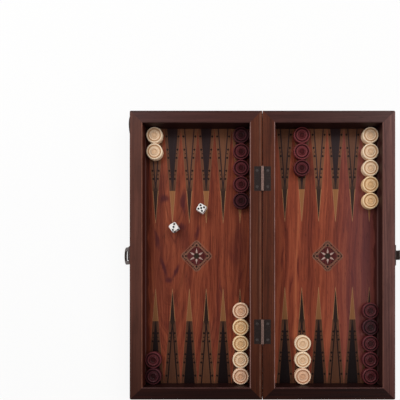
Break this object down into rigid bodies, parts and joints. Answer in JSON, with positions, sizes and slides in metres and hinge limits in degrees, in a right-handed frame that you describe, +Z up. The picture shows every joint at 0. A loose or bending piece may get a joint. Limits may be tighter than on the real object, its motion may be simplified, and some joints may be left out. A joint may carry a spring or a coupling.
{
  "type": "folding backgammon board",
  "caption": "Folding wooden backgammon board with inlaid points, a chessboard outside, hinges, a swing latch, turned checkers and dice.",
  "frame": {"origin": "on the table plane, under the middle of the open board's box with its latch fittings; the seam is 6.4 mm toward +X", "axes": "+Y along the seam and the board's length, +X from the latch loop's half to the catch's half, +Z up"},
  "size_m": [0.4665, 0.48, 0.0361],
  "materials": {
    "walnut": "satin lacquered walnut",
    "outer_veneer": "satin lacquered rosewood veneer, black lacquered bevel",
    "rosewood": "satin lacquered rosewood veneer",
    "light_inlay": "inlaid tan veneer",
    "dark_inlay": "inlaid dark veneer",
    "pearl": "pearly cream, polished",
    "hinge_bronze": "antique bronze",
    "pin_copper": "worn copper bronze",
    "screw_brass": "dull brass",
    "latch_bronze": "antique bronze",
    "plaque_bronze": "dark bronze with brass nails",
    "light_wood": "turned, waxed light wood",
    "dark_wood": "turned, stained wood",
    "die_white": "polished, black pips"
  },
  "bodies": {
    "left_half": {"left_outer_rail": "walnut", "left_hinge_rail": "walnut", "left_north_rail": "walnut", "left_south_rail": "walnut", "left_outer_panel": "outer_veneer", "left_pearl_squares": "pearl", "left_play_panel": "rosewood", "left_light_inlays": "light_inlay", "left_dark_inlays": "dark_inlay", "left_hinge_leaves": "hinge_bronze", "hinge_pins": "pin_copper", "left_screws": "screw_brass", "latch_base": "latch_bronze", "latch_pin": "pin_copper", "plaque": "plaque_bronze"},
    "right_half": {"right_outer_rail": "walnut", "right_hinge_rail": "walnut", "right_north_rail": "walnut", "right_south_rail": "walnut", "right_outer_panel": "outer_veneer", "right_pearl_squares": "pearl", "right_play_panel": "rosewood", "right_light_inlays": "light_inlay", "right_dark_inlays": "dark_inlay", "right_hinge_leaves": "hinge_bronze", "right_screws": "screw_brass", "latch_catch": "latch_bronze"},
    "latch_loop": {"latch_loop": "latch_bronze"},
    "light_checker_1": {"light_checker_1": "light_wood"},
    "light_checker_2": {"light_checker_2": "light_wood"},
    "light_checker_3": {"light_checker_3": "light_wood"},
    "light_checker_4": {"light_checker_4": "light_wood"},
    "light_checker_5": {"light_checker_5": "light_wood"},
    "light_checker_6": {"light_checker_6": "light_wood"},
    "light_checker_7": {"light_checker_7": "light_wood"},
    "light_checker_8": {"light_checker_8": "light_wood"},
    "light_checker_9": {"light_checker_9": "light_wood"},
    "light_checker_10": {"light_checker_10": "light_wood"},
    "light_checker_11": {"light_checker_11": "light_wood"},
    "light_checker_12": {"light_checker_12": "light_wood"},
    "light_checker_13": {"light_checker_13": "light_wood"},
    "light_checker_14": {"light_checker_14": "light_wood"},
    "light_checker_15": {"light_checker_15": "light_wood"},
    "dark_checker_1": {"dark_checker_1": "dark_wood"},
    "dark_checker_2": {"dark_checker_2": "dark_wood"},
    "dark_checker_3": {"dark_checker_3": "dark_wood"},
    "dark_checker_4": {"dark_checker_4": "dark_wood"},
    "dark_checker_5": {"dark_checker_5": "dark_wood"},
    "dark_checker_6": {"dark_checker_6": "dark_wood"},
    "dark_checker_7": {"dark_checker_7": "dark_wood"},
    "dark_checker_8": {"dark_checker_8": "dark_wood"},
    "dark_checker_9": {"dark_checker_9": "dark_wood"},
    "dark_checker_10": {"dark_checker_10": "dark_wood"},
    "dark_checker_11": {"dark_checker_11": "dark_wood"},
    "dark_checker_12": {"dark_checker_12": "dark_wood"},
    "dark_checker_13": {"dark_checker_13": "dark_wood"},
    "dark_checker_14": {"dark_checker_14": "dark_wood"},
    "dark_checker_15": {"dark_checker_15": "dark_wood"},
    "die_five": {"die_five": "die_white"},
    "die_three": {"die_three": "die_white"}
  },
  "joints": [
    {"name": "fold", "type": "hinge", "parent": "left_half", "child": "right_half", "pos_m": [0.0064, 0, 0.0324], "axis": [0, 1, 0], "range_deg": [-180, 0]},
    {"name": "latch_swing", "type": "hinge", "parent": "left_half", "child": "latch_loop", "pos_m": [-0.2181, 0, 0.019], "axis": [0, -1, 0], "range_deg": [-139, 0]},
    {"name": "lift_light_checker_1", "type": "slide", "parent": "left_half", "child": "light_checker_1", "axis": [0, 0, 1], "range_m": [0, 0.03]},
    {"name": "lift_light_checker_2", "type": "slide", "parent": "left_half", "child": "light_checker_2", "axis": [0, 0, 1], "range_m": [0, 0.03]},
    {"name": "lift_light_checker_3", "type": "slide", "parent": "left_half", "child": "light_checker_3", "axis": [0, 0, 1], "range_m": [0, 0.03]},
    {"name": "lift_light_checker_4", "type": "slide", "parent": "left_half", "child": "light_checker_4", "axis": [0, 0, 1], "range_m": [0, 0.03]},
    {"name": "lift_light_checker_5", "type": "slide", "parent": "left_half", "child": "light_checker_5", "axis": [0, 0, 1], "range_m": [0, 0.03]},
    {"name": "lift_light_checker_6", "type": "slide", "parent": "left_half", "child": "light_checker_6", "axis": [0, 0, 1], "range_m": [0, 0.03]},
    {"name": "lift_light_checker_7", "type": "slide", "parent": "left_half", "child": "light_checker_7", "axis": [0, 0, 1], "range_m": [0, 0.03]},
    {"name": "lift_light_checker_8", "type": "slide", "parent": "right_half", "child": "light_checker_8", "axis": [0, 0, 1], "range_m": [0, 0.03]},
    {"name": "lift_light_checker_9", "type": "slide", "parent": "right_half", "child": "light_checker_9", "axis": [0, 0, 1], "range_m": [0, 0.03]},
    {"name": "lift_light_checker_10", "type": "slide", "parent": "right_half", "child": "light_checker_10", "axis": [0, 0, 1], "range_m": [0, 0.03]},
    {"name": "lift_light_checker_11", "type": "slide", "parent": "right_half", "child": "light_checker_11", "axis": [0, 0, 1], "range_m": [0, 0.03]},
    {"name": "lift_light_checker_12", "type": "slide", "parent": "right_half", "child": "light_checker_12", "axis": [0, 0, 1], "range_m": [0, 0.03]},
    {"name": "lift_light_checker_13", "type": "slide", "parent": "right_half", "child": "light_checker_13", "axis": [0, 0, 1], "range_m": [0, 0.03]},
    {"name": "lift_light_checker_14", "type": "slide", "parent": "right_half", "child": "light_checker_14", "axis": [0, 0, 1], "range_m": [0, 0.03]},
    {"name": "lift_light_checker_15", "type": "slide", "parent": "right_half", "child": "light_checker_15", "axis": [0, 0, 1], "range_m": [0, 0.03]},
    {"name": "lift_dark_checker_1", "type": "slide", "parent": "left_half", "child": "dark_checker_1", "axis": [0, 0, 1], "range_m": [0, 0.03]},
    {"name": "lift_dark_checker_2", "type": "slide", "parent": "left_half", "child": "dark_checker_2", "axis": [0, 0, 1], "range_m": [0, 0.03]},
    {"name": "lift_dark_checker_3", "type": "slide", "parent": "left_half", "child": "dark_checker_3", "axis": [0, 0, 1], "range_m": [0, 0.03]},
    {"name": "lift_dark_checker_4", "type": "slide", "parent": "left_half", "child": "dark_checker_4", "axis": [0, 0, 1], "range_m": [0, 0.03]},
    {"name": "lift_dark_checker_5", "type": "slide", "parent": "left_half", "child": "dark_checker_5", "axis": [0, 0, 1], "range_m": [0, 0.03]},
    {"name": "lift_dark_checker_6", "type": "slide", "parent": "left_half", "child": "dark_checker_6", "axis": [0, 0, 1], "range_m": [0, 0.03]},
    {"name": "lift_dark_checker_7", "type": "slide", "parent": "left_half", "child": "dark_checker_7", "axis": [0, 0, 1], "range_m": [0, 0.03]},
    {"name": "lift_dark_checker_8", "type": "slide", "parent": "right_half", "child": "dark_checker_8", "axis": [0, 0, 1], "range_m": [0, 0.03]},
    {"name": "lift_dark_checker_9", "type": "slide", "parent": "right_half", "child": "dark_checker_9", "axis": [0, 0, 1], "range_m": [0, 0.03]},
    {"name": "lift_dark_checker_10", "type": "slide", "parent": "right_half", "child": "dark_checker_10", "axis": [0, 0, 1], "range_m": [0, 0.03]},
    {"name": "lift_dark_checker_11", "type": "slide", "parent": "right_half", "child": "dark_checker_11", "axis": [0, 0, 1], "range_m": [0, 0.03]},
    {"name": "lift_dark_checker_12", "type": "slide", "parent": "right_half", "child": "dark_checker_12", "axis": [0, 0, 1], "range_m": [0, 0.03]},
    {"name": "lift_dark_checker_13", "type": "slide", "parent": "right_half", "child": "dark_checker_13", "axis": [0, 0, 1], "range_m": [0, 0.03]},
    {"name": "lift_dark_checker_14", "type": "slide", "parent": "right_half", "child": "dark_checker_14", "axis": [0, 0, 1], "range_m": [0, 0.03]},
    {"name": "lift_dark_checker_15", "type": "slide", "parent": "right_half", "child": "dark_checker_15", "axis": [0, 0, 1], "range_m": [0, 0.03]},
    {"name": "lift_die_five", "type": "slide", "parent": "left_half", "child": "die_five", "axis": [0, 0, 1], "range_m": [0, 0.03]},
    {"name": "lift_die_three", "type": "slide", "parent": "left_half", "child": "die_three", "axis": [0, 0, 1], "range_m": [0, 0.03]}
  ]
}
